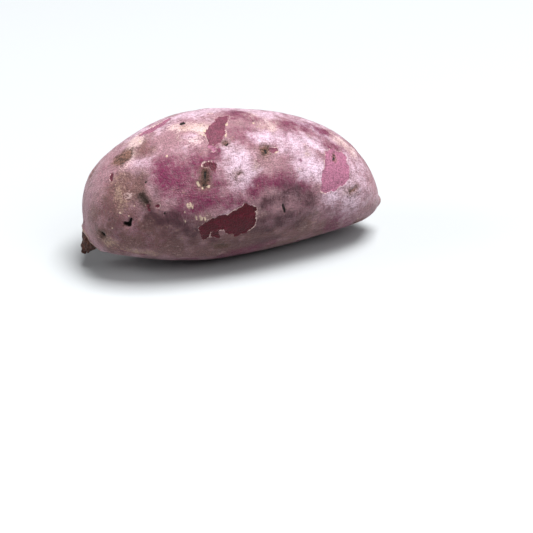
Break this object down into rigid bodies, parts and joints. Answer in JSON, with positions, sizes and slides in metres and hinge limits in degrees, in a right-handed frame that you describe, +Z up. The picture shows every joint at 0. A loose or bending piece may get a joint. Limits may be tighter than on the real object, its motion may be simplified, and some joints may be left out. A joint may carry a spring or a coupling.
{
  "type": "purple sweet potato",
  "caption": "Whole raw purple sweet potato, plump and tapered, with a short root tail at one end and a dry stem scar at the other, lying on its flatter side.",
  "frame": {"origin": "under the middle of the root, on the surface it rests on", "axes": "+X along the root towards the stem end, -Y the front, +Z up"},
  "size_m": [0.1318, 0.0656, 0.0619],
  "materials": {
    "skin": "dry thin natural skin, satin"
  },
  "bodies": {
    "root": {"sweet_potato": "skin"}
  },
  "joints": []
}
